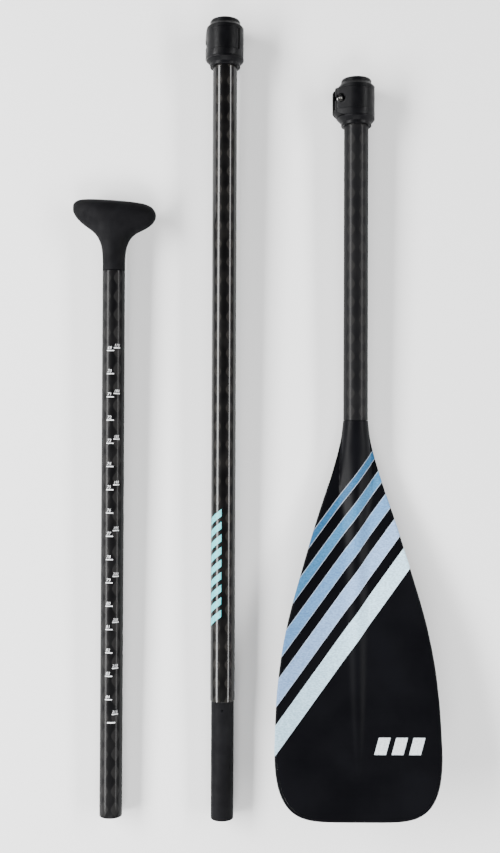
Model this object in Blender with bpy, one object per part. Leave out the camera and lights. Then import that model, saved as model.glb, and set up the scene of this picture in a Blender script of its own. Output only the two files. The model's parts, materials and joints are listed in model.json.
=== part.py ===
"""Adjustable single blade paddle, taken apart into its three sections and laid on the ground.

Metres, +Z up. The shafts run along +Y towards the grip and the clamps, and +X is to the right.
The origin is the middle of the bounding box, at ground level.
"""
import math

import bmesh
import bpy
from mathutils import Vector

# Tubes: the handle tube and the ferrule are the size that slides in the two main tubes.
MAIN_RADIUS = 0.0135
MAIN_BORE = 0.01255
INNER_RADIUS = 0.0124
INNER_BORE = 0.0112
PLUG_RADIUS = 0.0110
PLUG_LENGTH = 0.012
PLUG_RECESS = 0.002
GAP = 0.0003
SEGMENTS = 48
HIDDEN_SEGMENTS = 32
CHAMFER = 0.0003

# Lay-out of the three sections.
TILT = math.radians(0.795)
HANDLE_X = -0.1558
MIDDLE_X = -0.0335
BLADE_X = 0.1125
HANDLE_END_Y = -0.4377
MIDDLE_END_Y = -0.4400
NECK_Y = -0.0028
HANDLE_HEIGHT = 0.0124
MIDDLE_HEIGHT = 0.01267
NECK_HEIGHT = 0.01587

# Handle section, measured up from the open end of its tube.
HANDLE_TUBE_LENGTH = 0.5990
GRIP_SPIGOT_RADIUS = 0.0109
GRIP_SPIGOT_LENGTH = 0.030
GRIP_SIDES = 40
GRIP_SLOPE = math.tan(math.radians(4.0))
GRIP_DROP = 0.0020
GRIP_DROP_SPREAD = 0.0298
GRIP_STATIONS = [
    # height over the tube, left reach, right reach, half depth, share of the top edge's slope
    (0.000, 0.0124, 0.0124, 0.0124, 0.0), (0.010, 0.0124, 0.0125, 0.0125, 0.0),
    (0.020, 0.0130, 0.0130, 0.0127, 0.0), (0.029, 0.0145, 0.0150, 0.0132, 0.0),
    (0.037, 0.0180, 0.0190, 0.0142, 0.1), (0.043, 0.0230, 0.0255, 0.0155, 0.2),
    (0.048, 0.0300, 0.0345, 0.0168, 0.3), (0.053, 0.0370, 0.0410, 0.0180, 0.45),
    (0.059, 0.0430, 0.0450, 0.0192, 0.6), (0.065, 0.0462, 0.0462, 0.0195, 0.8),
    (0.070, 0.0462, 0.0448, 0.0180, 0.9), (0.0745, 0.0430, 0.0410, 0.0148, 1.0),
    (0.0770, 0.0370, 0.0345, 0.0100, 1.0), (0.0780, 0.0290, 0.0270, 0.0050, 1.0),
]

# Middle section, measured up from the open end of its ferrule.
FERRULE_EXPOSED = 0.1290
FERRULE_BONDED = 0.1000
MIDDLE_LENGTH = 0.8800
VENT_RADIUS = 0.0010
VENT_FROM_SHOULDER = 0.0090
MIDDLE_CLAMP_TURN = math.radians(57.0)

# Blade section, measured up from the joint of shaft and blade.
SHAFT_LENGTH = 0.3785
HOSEL_RADIUS = 0.0122
HOSEL_BORE = 0.0104
HOSEL_DOWN = 0.032
HOSEL_UP = 0.050
SHAFT_PLUG_Y = 0.070
SHAFT_PLUG_LENGTH = 0.020

# Clamp, in its own frame: Y up the shaft, the ear towards -X, the bolt head towards +Z.
CLAMP_LENGTH = 0.0520
COLLAR_RADIUS = 0.0205
CAP_RADIUS = 0.0168
CAP_BOTTOM = 0.0475
LIP_TOP = 0.0035
CHAMFER_RISE = 0.0107
GROOVE_Y = 0.0092
GROOVE_HALF = 0.0006
EDGE_SOFTNESS = 0.0008
EAR_CORNER = 0.0040
EAR_REACH = 0.0264
EAR_BOTTOM = -0.0070
EAR_TOP = 0.0050
COLLAR_BORE = 0.0138
MOUTH_RADIUS = 0.0128
MOUTH_DEPTH = 0.0040
TUBE_IN_COLLAR = 0.0215
SLIT_HALF = 0.0010
SLIT_BOTTOM = 0.0100
SLIT_INNER_X = -0.0080
OUTSIDE = 0.0400
BAND_BOTTOM = 0.0165
BAND_TOP = 0.0400
BAND_SEAT_RADIUS = 0.0169
BAND_INNER = 0.0172
BAND_OUTER = 0.0204
BAND_START_ANGLE = math.radians(146.0)
BAND_END_ANGLE = math.radians(-12.0)
SEAT_START_ANGLE = BAND_END_ANGLE - math.radians(7.0)
SEAT_END_ANGLE = math.radians(178.0)
SEAT_OUTER_END_ANGLE = math.radians(166.0)
KNUCKLE_END_ANGLE = math.radians(342.0)
PIVOT_X = -0.0189
PIVOT_Z = 0.0082
KNUCKLE_RADIUS = 0.0054
CAM_OFFSET = 0.0003
KNUCKLE_BORE = 0.00425
POCKET_RADIUS = 0.0060
BARREL_RADIUS = 0.0040
BOLT_Y = 0.5 * (BAND_BOTTOM + BAND_TOP)
BOLT_RADIUS = 0.0020
BOLT_HEAD_RADIUS = 0.0034
BOLT_HEAD_HEIGHT = 0.0020
BOLT_CLEARANCE = 0.0023
HEAD_CLEARANCE = 0.00365
SHANK_SWEEP_RADIUS = 0.0090
SHANK_SWEEP = (math.radians(-50.0), math.radians(-245.0))
SOCKET_RADIUS = 0.0015
SOCKET_DEPTH = 0.0013
THREAD_GAP = 0.00005
ACCESS_RADIUS = 0.0050
ACCESS_X = -0.0184
NUT_FLATS = 0.0070
NUT_THICKNESS = 0.0032
BUSH_BOTTOM = 0.0220
BUSH_TOP = 0.0475
BUSH_WALL = 0.0009
BUSH_SLIT_HALF = 0.0010

# Blade, measured down from the joint of shaft and blade.
BLADE_LENGTH = 0.4250
BLADE_HALF_WIDTH = 0.0895
WIDEST_AT = 0.3500
TIP_POWER_ALONG = 2.6
TIP_POWER_ACROSS = 5.0
RAKE = math.radians(8.0)
RAKE_START = 0.030
RAKE_FULL = 0.110
EDGE_HALF_THICKNESS = 0.0022
SKIN = 0.0009
RAIL_WIDTH = 0.0030
RAIL_START = 0.0700
BLEND_LENGTH = 0.070
SHOULDER_WIDTHS = [
    (0.000, 0.0138), (0.024, 0.0169), (0.059, 0.0263), (0.112, 0.0438), (0.164, 0.0595),
    (0.214, 0.0736), (0.255, 0.0820), (0.300, 0.0873), (WIDEST_AT, BLADE_HALF_WIDTH),
]
FRONT_HEIGHTS = [(0.0, 0.0138), (0.04, 0.0132), (0.08, 0.0108), (0.13, 0.0075), (0.20, 0.0055),
                 (0.30, 0.0042), (0.385, EDGE_HALF_THICKNESS)]
BACK_HEIGHTS = [(0.0, 0.0138), (0.04, 0.0141), (0.08, 0.0115), (0.13, 0.0070), (0.20, 0.0038),
                (0.26, EDGE_HALF_THICKNESS)]
SPINE_HALF_WIDTHS = [(0.0, 0.0138), (0.04, 0.0165), (0.08, 0.0180), (0.16, 0.0150), (0.24, 0.0125),
                     (0.32, 0.0090), (0.39, 0.0030)]
EDGE_HEIGHTS = [(0.0, 0.0002), (0.03, 0.0010), (0.065, EDGE_HALF_THICKNESS)]
ROWS = [GAP, 0.012, 0.024, 0.036, 0.047, 0.058, RAIL_START - 0.002, RAIL_START + 0.001, 0.084, 0.10,
        0.12, 0.145, 0.17, 0.20, 0.235, 0.27, 0.31, WIDEST_AT]
TIP_ROW_SHARES = [0.3, 0.52, 0.7, 0.83, 0.92, 0.97, 0.992]
COLUMNS = [0.0, 0.04, 0.08, 0.12, 0.16, 0.22, 0.34, 0.52, 0.76, 0.92, 1.0]


def clear_scene():
    for obj in list(bpy.data.objects):
        bpy.data.objects.remove(obj, do_unlink=True)


def material(name, color, roughness, metallic=0.0):
    made = bpy.data.materials.new(name)
    made.use_nodes = True
    shader = made.node_tree.nodes["Principled BSDF"]
    shader.inputs["Base Color"].default_value = (*color, 1.0)
    shader.inputs["Roughness"].default_value = roughness
    shader.inputs["Metallic"].default_value = metallic
    return made


def empty(name, parent=None, location=(0, 0, 0), rotation=(0, 0, 0)):
    made = bpy.data.objects.new(name, None)
    bpy.context.collection.objects.link(made)
    made.parent = parent
    made.location = location
    made.rotation_euler = rotation
    return made


def add_object(name, mesh, parent, finish=None, location=(0, 0, 0)):
    made = bpy.data.objects.new(name, mesh)
    bpy.context.collection.objects.link(made)
    made.parent = parent
    made.location = location
    if finish:
        mesh.materials.append(material(name, *finish))
    mesh.shade_smooth()
    mesh.set_sharp_from_angle(angle=math.radians(32))
    return made


def mesh_from_rings(name, rings, loop=False):
    """Skin a row of rings with the same number of points; cap the ends unless the row is a loop."""
    work = bmesh.new()
    made = [[work.verts.new(point) for point in ring] for ring in rings]
    count = len(made[0])
    pairs = list(zip(made, made[1:]))
    if loop:
        pairs.append((made[-1], made[0]))
    for low, high in pairs:
        for i in range(count):
            j = (i + 1) % count
            work.faces.new((low[i], low[j], high[j], high[i]))
    if not loop:
        work.faces.new(list(reversed(made[0])))
        work.faces.new(made[-1])
    bmesh.ops.recalc_face_normals(work, faces=work.faces)
    mesh = bpy.data.meshes.new(name)
    work.to_mesh(mesh)
    work.free()
    return mesh


def circle(radius, y, count=SEGMENTS):
    turn = 2 * math.pi / count
    return [Vector((radius * math.cos(turn * i), y, radius * math.sin(turn * i))) for i in range(count)]


def turned(name, profile, parent, finish=None, loop=True, count=SEGMENTS):
    """Turn a closed profile of (radius, y) points about Y; loop=False caps a solid bar instead."""
    rings = [circle(radius, y, count) for radius, y in profile]
    return add_object(name, mesh_from_rings(name, rings, loop), parent, finish)


def tube(name, outer, bore, bottom, top, parent, finish, count=SEGMENTS):
    c = CHAMFER
    profile = [
        (bore, bottom), (outer - c, bottom), (outer, bottom + c),
        (outer, top - c), (outer - c, top), (bore, top),
    ]
    return turned(name, profile, parent, finish, count=count)


def bar(name, radius, bottom, top, parent, finish=None, chamfer=CHAMFER, count=HIDDEN_SEGMENTS):
    profile = [(radius - chamfer, bottom), (radius, bottom + chamfer),
               (radius, top - chamfer), (radius - chamfer, top)]
    return turned(name, profile, parent, finish, loop=False, count=count)


def extruded(name, outline, bottom, top, parent, finish=None):
    """Extrude an outline of (x, z) points along Y."""
    rings = [[Vector((x, y, z)) for x, z in outline] for y in (bottom, top)]
    return add_object(name, mesh_from_rings(name, rings), parent, finish)


def cross_bar(name, radius, x, y, bottom, top, parent, count=24):
    """A bar along Z, used to cut the holes for the bolt."""
    turn = 2 * math.pi / count
    rings = [[Vector((x + radius * math.cos(turn * i), y + radius * math.sin(turn * i), z))
              for i in range(count)] for z in (bottom, top)]
    return add_object(name, mesh_from_rings(name, rings), parent)


def cut(target, *cutters, operation="DIFFERENCE"):
    for cutter in cutters:
        cutter.hide_render = True
        cutter.display_type = "WIRE"
        step = target.modifiers.new(cutter.name, "BOOLEAN")
        step.operation = operation
        step.solver = "EXACT"
        step.object = cutter


def along(points, at):
    """Smooth value through (distance, value) points: a Catmull-Rom curve held flat past the last."""
    if at >= points[-1][0]:
        return points[-1][1]
    i = max(k for k, point in enumerate(points) if point[0] <= at)
    x0, y0 = points[i]
    x1, y1 = points[i + 1]
    before = points[max(i - 1, 0)]
    after = points[min(i + 2, len(points) - 1)]
    slope0 = (y1 - before[1]) / (x1 - before[0])
    slope1 = (after[1] - y0) / (after[0] - x0)
    span = x1 - x0
    u = (at - x0) / span
    return ((2 * u**3 - 3 * u**2 + 1) * y0 + (u**3 - 2 * u**2 + u) * span * slope0
            + (3 * u**2 - 2 * u**3) * y1 + (u**3 - u**2) * span * slope1)


# ---------------------------------------------------------------- handle section

def palm_grip(parent, finish):
    """T grip: oval rings that leave the tube round, spread into the palm bar and close over its top."""
    rings = []
    for height, left, right, depth, lean in GRIP_STATIONS:
        ring = []
        for i in range(GRIP_SIDES):
            angle = 2 * math.pi * i / GRIP_SIDES
            reach = right if math.cos(angle) > 0 else left
            x = reach * math.cos(angle)
            y = HANDLE_TUBE_LENGTH + GAP + height - GRIP_SLOPE * lean * x
            drop = GRIP_DROP * min(1.0, (reach - INNER_RADIUS) / GRIP_DROP_SPREAD)
            ring.append(Vector((x, y, depth * math.sin(angle) - drop)))
        rings.append(ring)
    spigot = [circle(GRIP_SPIGOT_RADIUS, HANDLE_TUBE_LENGTH - GRIP_SPIGOT_LENGTH, GRIP_SIDES),
              circle(GRIP_SPIGOT_RADIUS, HANDLE_TUBE_LENGTH + GAP, GRIP_SIDES)]
    return add_object("palm_grip", mesh_from_rings("palm_grip", spigot + rings), parent, finish)


def handle_section():
    section = empty("handle_section", None, (HANDLE_X, HANDLE_END_Y, HANDLE_HEIGHT), (TILT, 0, 0))
    palm_grip(section, ((0.018, 0.018, 0.020), 0.75))
    tube("handle_tube", INNER_RADIUS, INNER_BORE, 0, HANDLE_TUBE_LENGTH, section,
         ((0.030, 0.030, 0.033), 0.38))
    bar("handle_end_plug", PLUG_RADIUS, PLUG_RECESS, PLUG_RECESS + PLUG_LENGTH, section,
        ((0.02, 0.02, 0.02), 0.8))


# ---------------------------------------------------------------- clamp

def arc(cx, cz, radius, start, end, count):
    step = (end - start) / count
    return [(cx + radius * math.cos(start + step * i), cz + radius * math.sin(start + step * i))
            for i in range(count + 1)]


def tangent_angle():
    """Direction of the normal where one straight line touches the band and the knuckle."""
    x, z = PIVOT_X, PIVOT_Z - CAM_OFFSET
    distance = math.hypot(x, z)
    return math.atan2(z, x) - math.acos((BAND_OUTER - KNUCKLE_RADIUS) / distance)


def collar_outline():
    """Round body with the ear block: the body's arc, the cheek over the knuckle and the ear."""
    normal = tangent_angle()
    start = -math.pi + math.asin(-EAR_BOTTOM / COLLAR_RADIUS)
    outline = arc(0, 0, COLLAR_RADIUS, start, normal, 32)
    outline += arc(PIVOT_X, PIVOT_Z - CAM_OFFSET, KNUCKLE_RADIUS, normal, math.radians(185), 6)
    outline += [(-EAR_REACH + EDGE_SOFTNESS, EAR_TOP), (-EAR_REACH, EAR_TOP - EDGE_SOFTNESS)]
    outline += arc(-EAR_REACH + EAR_CORNER, EAR_BOTTOM + EAR_CORNER, EAR_CORNER, math.pi, 1.5 * math.pi, 4)
    return outline


def clamp_envelope(name, parent):
    """Turned shape that the collar stays inside: lip, cone, body, cone and cap."""
    reach = EAR_REACH + 0.001
    rise = (reach - CAP_RADIUS) * CHAMFER_RISE / (EAR_REACH - CAP_RADIUS)
    soft = EDGE_SOFTNESS
    profile = [
        (CAP_RADIUS - soft / 2, 0), (CAP_RADIUS, soft / 2), (CAP_RADIUS, LIP_TOP),
        (COLLAR_RADIUS + 2 * GROOVE_HALF, GROOVE_Y - GROOVE_HALF),
        (COLLAR_RADIUS - GROOVE_HALF, GROOVE_Y),
        (COLLAR_RADIUS + 3 * GROOVE_HALF, GROOVE_Y + GROOVE_HALF),
        (reach, LIP_TOP + rise), (reach, CAP_BOTTOM - rise), (CAP_RADIUS, CAP_BOTTOM),
        (CAP_RADIUS, CLAMP_LENGTH - 2 * soft), (CAP_RADIUS - soft, CLAMP_LENGTH - soft / 2),
        (CAP_RADIUS - 2 * soft, CLAMP_LENGTH),
    ]
    return turned(name, profile, parent, loop=False, count=48)


def slit_outline(half):
    """Outline of a slit towards the ear, from inside the bore to outside the collar."""
    return [(-OUTSIDE, -half), (SLIT_INNER_X, -half), (SLIT_INNER_X, half), (-OUTSIDE, half)]


def collar(prefix, parent, finish):
    made = extruded(prefix + "_collar", collar_outline(), 0, CLAMP_LENGTH, parent, finish)
    cut(made, clamp_envelope(prefix + "_envelope", parent), operation="INTERSECT")
    seat = arc(0, 0, BAND_SEAT_RADIUS, SEAT_START_ANGLE, SEAT_END_ANGLE, 20)
    seat += arc(0, 0, OUTSIDE, SEAT_OUTER_END_ANGLE, SEAT_START_ANGLE, 12)
    bore = turned(prefix + "_bore_cutter", [
        (COLLAR_BORE, -0.01), (COLLAR_BORE, CLAMP_LENGTH - MOUTH_DEPTH),
        (MOUTH_RADIUS, CLAMP_LENGTH - MOUTH_DEPTH), (MOUTH_RADIUS, CLAMP_LENGTH - 0.001),
        (MOUTH_RADIUS + 0.001, CLAMP_LENGTH), (MOUTH_RADIUS + 0.001, CLAMP_LENGTH + 0.01),
    ], parent, loop=False, count=36)
    slit = extruded(prefix + "_slit_cutter", slit_outline(SLIT_HALF), SLIT_BOTTOM, CLAMP_LENGTH + 0.01, parent)
    recess = extruded(prefix + "_band_cutter", seat, BAND_BOTTOM, BAND_TOP, parent)
    pocket = extruded(prefix + "_pocket_cutter",
                      arc(PIVOT_X, PIVOT_Z, POCKET_RADIUS, math.radians(-180), math.radians(171), 24),
                      BAND_BOTTOM, BAND_TOP, parent)
    hole = cross_bar(prefix + "_hole_cutter", BOLT_CLEARANCE, PIVOT_X, BOLT_Y, -0.03, 0.03, parent)
    nut_room = hexagon(prefix + "_nut_cutter", NUT_FLATS + 2 * GAP, EAR_BOTTOM - 0.01,
                       EAR_BOTTOM + NUT_THICKNESS + GAP, parent)
    cut(made, bore, recess, pocket, slit, hole, nut_room)
    return made


def hexagon(name, flats, bottom, top, parent, finish=None):
    corner = flats / math.sqrt(3)
    rings = [[Vector((PIVOT_X + corner * math.cos(math.pi / 3 * i),
                      BOLT_Y + corner * math.sin(math.pi / 3 * i), z)) for i in range(6)]
             for z in (bottom, top)]
    return add_object(name, mesh_from_rings(name, rings), parent, finish)


def lever(prefix, parent, finish):
    """Band round the head side of the collar, with a cam knuckle round the barrel pin."""
    normal = tangent_angle()
    pivot = Vector((PIVOT_X, 0, PIVOT_Z))
    knuckle = arc(PIVOT_X, PIVOT_Z - CAM_OFFSET, KNUCKLE_RADIUS, normal, KNUCKLE_END_ANGLE, 18)
    mid_radius = 0.5 * (BAND_INNER + BAND_OUTER)
    half = 0.5 * (BAND_OUTER - BAND_INNER)
    tip_x = mid_radius * math.cos(BAND_END_ANGLE)
    tip_z = mid_radius * math.sin(BAND_END_ANGLE)
    outline = knuckle
    outline += arc(0, 0, BAND_INNER, BAND_START_ANGLE, BAND_END_ANGLE, 22)
    outline += arc(tip_x, tip_z, half, BAND_END_ANGLE - math.pi, BAND_END_ANGLE, 6)[1:-1]
    outline += arc(0, 0, BAND_OUTER, BAND_END_ANGLE, normal, 24)
    holder = empty(prefix + "_lever_axis", parent, pivot)
    shifted = [(x - pivot.x, z - pivot.z) for x, z in outline]
    made = extruded(prefix + "_lever", shifted, BAND_BOTTOM + GAP, BAND_TOP - GAP, holder, finish)
    eye = extruded(prefix + "_eye_cutter", arc(0, 0, KNUCKLE_BORE, 0, math.radians(350), 35),
                   0, CLAMP_LENGTH, holder)
    access = cross_bar(prefix + "_access_cutter", ACCESS_RADIUS, ACCESS_X - pivot.x, BOLT_Y,
                       0.0005, 0.03, holder, 32)
    sweep = [(0, 0)] + arc(0, 0, SHANK_SWEEP_RADIUS, *SHANK_SWEEP, 14)
    shank = extruded(prefix + "_shank_cutter", sweep, BOLT_Y - BOLT_CLEARANCE,
                     BOLT_Y + BOLT_CLEARANCE, holder)
    cut(made, eye, access, shank)
    return made


def bush(prefix, parent, finish):
    outer = COLLAR_BORE - GAP / 2
    made = tube(prefix + "_bush", outer, outer - BUSH_WALL, BUSH_BOTTOM, BUSH_TOP, parent, finish, count=36)
    slit = extruded(prefix + "_bush_cutter", slit_outline(BUSH_SLIT_HALF), 0, CLAMP_LENGTH, parent)
    cut(made, slit)
    return made


def barrel_pin(prefix, parent, finish):
    holder = empty(prefix + "_pin_axis", parent, (PIVOT_X, 0, PIVOT_Z))
    made = bar(prefix + "_barrel_pin", BARREL_RADIUS, BAND_BOTTOM + GAP, BAND_TOP - GAP, holder, finish,
               count=24)
    hole = cross_bar(prefix + "_pin_hole_cutter", BOLT_CLEARANCE, 0, BOLT_Y, -0.01, 0.01, holder)
    seat = cross_bar(prefix + "_pin_seat_cutter", HEAD_CLEARANCE, 0, BOLT_Y, 0, 0.01, holder)
    cut(made, hole, seat)
    return made


def tension_bolt(prefix, parent, finish):
    """Socket-head bolt along Z through the barrel pin, the slit and the nut."""
    axis = empty(prefix + "_bolt_axis", parent, (PIVOT_X, BOLT_Y, PIVOT_Z))
    seat = GAP
    end = EAR_BOTTOM - PIVOT_Z - GAP
    count = 24
    soft = EDGE_SOFTNESS / 2
    profile = [(BOLT_RADIUS - soft, end), (BOLT_RADIUS, end + soft), (BOLT_RADIUS, seat),
               (BOLT_HEAD_RADIUS, seat), (BOLT_HEAD_RADIUS, seat + BOLT_HEAD_HEIGHT - soft),
               (BOLT_HEAD_RADIUS - soft, seat + BOLT_HEAD_HEIGHT)]
    turn = 2 * math.pi / count
    rings = [[Vector((r * math.cos(turn * i), r * math.sin(turn * i), z)) for i in range(count)]
             for r, z in profile]
    name = prefix + "_tension_bolt"
    made = add_object(name, mesh_from_rings(name, rings), axis, finish)
    socket = cross_bar(prefix + "_socket_cutter", SOCKET_RADIUS, 0, 0,
                       seat + BOLT_HEAD_HEIGHT - SOCKET_DEPTH, 0.02, axis, 6)
    cut(made, socket)
    return made


def lock_nut(prefix, parent, finish):
    made = hexagon(prefix + "_lock_nut", NUT_FLATS, EAR_BOTTOM, EAR_BOTTOM + NUT_THICKNESS, parent, finish)
    hole = cross_bar(prefix + "_nut_hole_cutter", BOLT_RADIUS + THREAD_GAP, PIVOT_X, BOLT_Y, -0.03, 0.03,
                     parent)
    cut(made, hole)
    return made


def clamp(prefix, section, bottom, turn):
    frame = empty(prefix + "_frame", section, (0, bottom, 0), (0, -turn, 0))
    black = ((0.016, 0.016, 0.018), 0.45)
    steel = ((0.78, 0.77, 0.74), 0.25, 1.0)
    collar(prefix, frame, black)
    lever(prefix, frame, black)
    bush(prefix, frame, ((0.05, 0.05, 0.05), 0.5))
    barrel_pin(prefix, frame, ((0.06, 0.06, 0.065), 0.35, 0.9))
    tension_bolt(prefix, frame, steel)
    lock_nut(prefix, frame, steel)


# ---------------------------------------------------------------- middle section

def middle_section():
    section = empty("middle_section", None, (MIDDLE_X, MIDDLE_END_Y, MIDDLE_HEIGHT), (TILT, 0, 0))
    clamp_bottom = MIDDLE_LENGTH - CLAMP_LENGTH
    tube("mid_tube", MAIN_RADIUS, MAIN_BORE, FERRULE_EXPOSED, clamp_bottom + TUBE_IN_COLLAR, section,
         ((0.022, 0.022, 0.025), 0.16))
    ferrule = tube("ferrule", INNER_RADIUS, INNER_BORE, 0, FERRULE_EXPOSED + FERRULE_BONDED, section,
                   ((0.030, 0.030, 0.034), 0.55))
    vent = cross_bar("vent_cutter", VENT_RADIUS, 0, FERRULE_EXPOSED - VENT_FROM_SHOULDER,
                     0.005, 0.02, section, 16)
    cut(ferrule, vent)
    bar("ferrule_end_plug", PLUG_RADIUS, PLUG_RECESS, PLUG_RECESS + PLUG_LENGTH, section,
        ((0.02, 0.02, 0.02), 0.8))
    clamp("mid_clamp", section, clamp_bottom, MIDDLE_CLAMP_TURN)


# ---------------------------------------------------------------- blade section

def rake_height(s):
    """How far the blade's middle surface has risen from the shaft axis."""
    slope = math.tan(RAKE)
    if s <= RAKE_START:
        return 0.0
    if s <= RAKE_FULL:
        return slope * (s - RAKE_START)**2 / (2 * (RAKE_FULL - RAKE_START))
    return slope * (s - 0.5 * (RAKE_START + RAKE_FULL))


def half_width(s, inset=0.0):
    """Half the blade's width: a smooth shoulder, then a squared-off oval tip."""
    if s <= WIDEST_AT:
        return along(SHOULDER_WIDTHS, s) - inset
    share = (s - WIDEST_AT) / (BLADE_LENGTH - WIDEST_AT - inset)
    across = (1 - min(share, 1.0)**TIP_POWER_ALONG)**(1 / TIP_POWER_ACROSS)
    return (BLADE_HALF_WIDTH - inset) * across


def face_height(s, x, heights):
    """Height of a face over the middle surface: the edge's thickness and the rounded spine."""
    edge = along(EDGE_HEIGHTS, s)
    share = min(1.0, abs(x) / along(SPINE_HALF_WIDTHS, s))
    round_bump = math.sqrt(max(0.0, 1 - share**2))
    soft_bump = 0.5 * (1 + math.cos(math.pi * share))
    blend = min(1.0, max(0.0, (s - HOSEL_DOWN) / BLEND_LENGTH))
    bump = round_bump * (1 - blend) + soft_bump * blend
    return edge + (along(heights, s) - edge) * bump


def grid_rows(first, last):
    """Distances of the rows: even steps down the blade, closer together in the rounded tip."""
    rows = [s for s in ROWS if first <= s <= last]
    rows += [WIDEST_AT + (last - WIDEST_AT) * share for share in TIP_ROW_SHARES]
    return rows


def inset_at(s, inset):
    return inset if s > RAIL_START else GAP / 2


def layer(name, first, inset, upper, lower, parent, finish):
    """Closed sheet of the blade between two surfaces, each a function of distance and x."""
    rows = grid_rows(first, BLADE_LENGTH - inset)
    shares = [-c for c in reversed(COLUMNS[1:])] + COLUMNS
    work = bmesh.new()
    sheets = []
    for surface in (upper, lower):
        sheet = []
        for s in rows:
            edge = half_width(s, inset_at(s, inset))
            middle = rake_height(s)
            sheet.append([work.verts.new((edge * c, -s, middle + surface(s, edge * c))) for c in shares])
        sheets.append(sheet)
    top, bottom = sheets
    last_row, last_column = len(rows) - 1, len(shares) - 1
    for i in range(last_row):
        for j in range(last_column):
            for sheet in sheets:
                work.faces.new((sheet[i][j], sheet[i][j + 1], sheet[i + 1][j + 1], sheet[i + 1][j]))
        for j in (0, last_column):
            work.faces.new((top[i][j], top[i + 1][j], bottom[i + 1][j], bottom[i][j]))
    for j in range(last_column):
        for i in (0, last_row):
            work.faces.new((top[i][j], top[i][j + 1], bottom[i][j + 1], bottom[i][j]))
    bmesh.ops.recalc_face_normals(work, faces=work.faces)
    mesh = bpy.data.meshes.new(name)
    work.to_mesh(mesh)
    work.free()
    return add_object(name, mesh, parent, finish)


def skin_surface(heights, sign, depth):
    """A face of the blade moved in by depth, measured square to the face, not below the parting line."""
    def surface(s, x):
        edge = half_width(s, 0)
        near = x * (edge / max(edge - depth, 1e-6)) if s < RAIL_START else x
        near = max(-edge, min(edge, near))
        return sign * max(face_height(s, near, heights) - depth, GAP / 2)
    return surface


def edge_rail(parent, finish):
    """Rail round the blade's rim, a rounded strip swept along the outline."""
    sides = [s for s in grid_rows(RAIL_START + 0.0015, BLADE_LENGTH) if s < WIDEST_AT]
    right = [(half_width(s), s) for s in [RAIL_START + 0.0015] + sides]
    quarter = 14
    for i in range(quarter + 1):
        angle = 0.5 * math.pi * i / quarter
        across = BLADE_HALF_WIDTH * math.cos(angle)**(2 / TIP_POWER_ACROSS)
        down = (BLADE_LENGTH - WIDEST_AT) * math.sin(angle)**(2 / TIP_POWER_ALONG)
        right.append((across, WIDEST_AT + down))
    path = right + [(-x, s) for x, s in reversed(right[:-1])]
    half = EDGE_HALF_THICKNESS
    section = [(0.0, half * 0.35), (0.0, -half * 0.35), (0.0006, -half * 0.85), (0.0014, -half),
               (RAIL_WIDTH, -half), (RAIL_WIDTH, half), (0.0014, half), (0.0006, half * 0.85)]
    rings = []
    for i, (x, s) in enumerate(path):
        before, after = path[max(i - 1, 0)], path[min(i + 1, len(path) - 1)]
        direction = Vector((after[0] - before[0], after[1] - before[1])).normalized()
        inward = Vector((-direction.y, direction.x))
        ring = []
        for depth, height in section:
            px = x + inward.x * depth
            ps = s + inward.y * depth
            ring.append(Vector((px, -ps, rake_height(ps) + height)))
        rings.append(ring)
    return add_object("blade_edge_rail", mesh_from_rings("blade_edge_rail", rings), parent, finish)


def blade_section():
    section = empty("blade_section", None, (BLADE_X, NECK_Y, NECK_HEIGHT), (TILT, 0, 0))
    clamp_bottom = SHAFT_LENGTH - CLAMP_LENGTH
    tube("blade_tube", MAIN_RADIUS, MAIN_BORE, 0, clamp_bottom + TUBE_IN_COLLAR, section,
         ((0.030, 0.030, 0.033), 0.40))
    tube("blade_hosel", HOSEL_RADIUS, HOSEL_BORE, -HOSEL_DOWN, HOSEL_UP, section,
         ((0.030, 0.030, 0.030), 0.5), count=HIDDEN_SEGMENTS)
    bar("blade_shaft_plug", MAIN_BORE - GAP, SHAFT_PLUG_Y, SHAFT_PLUG_Y + SHAFT_PLUG_LENGTH, section,
        ((0.55, 0.55, 0.52), 0.9))
    inset = RAIL_WIDTH + GAP
    dark = ((0.010, 0.010, 0.013), 0.42)
    layer("blade_front_skin", 0, inset, skin_surface(FRONT_HEIGHTS, 1, 0),
          skin_surface(FRONT_HEIGHTS, 1, SKIN), section, dark)
    layer("blade_back_skin", 0, inset, skin_surface(BACK_HEIGHTS, -1, SKIN),
          skin_surface(BACK_HEIGHTS, -1, 0), section, dark)
    layer("blade_core", HOSEL_DOWN + GAP, inset, skin_surface(FRONT_HEIGHTS, 1, SKIN + GAP),
          skin_surface(BACK_HEIGHTS, -1, SKIN + GAP), section, ((0.75, 0.72, 0.60), 0.95))
    edge_rail(section, ((0.012, 0.012, 0.013), 0.5))
    clamp("blade_clamp", section, clamp_bottom, 0.0)


clear_scene()
handle_section()
middle_section()
blade_section()
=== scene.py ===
"""Looks of the take-apart paddle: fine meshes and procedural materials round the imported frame."""
import json
import math

import bmesh
import bpy
import numpy as np
from mathutils import Matrix, Vector


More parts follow.
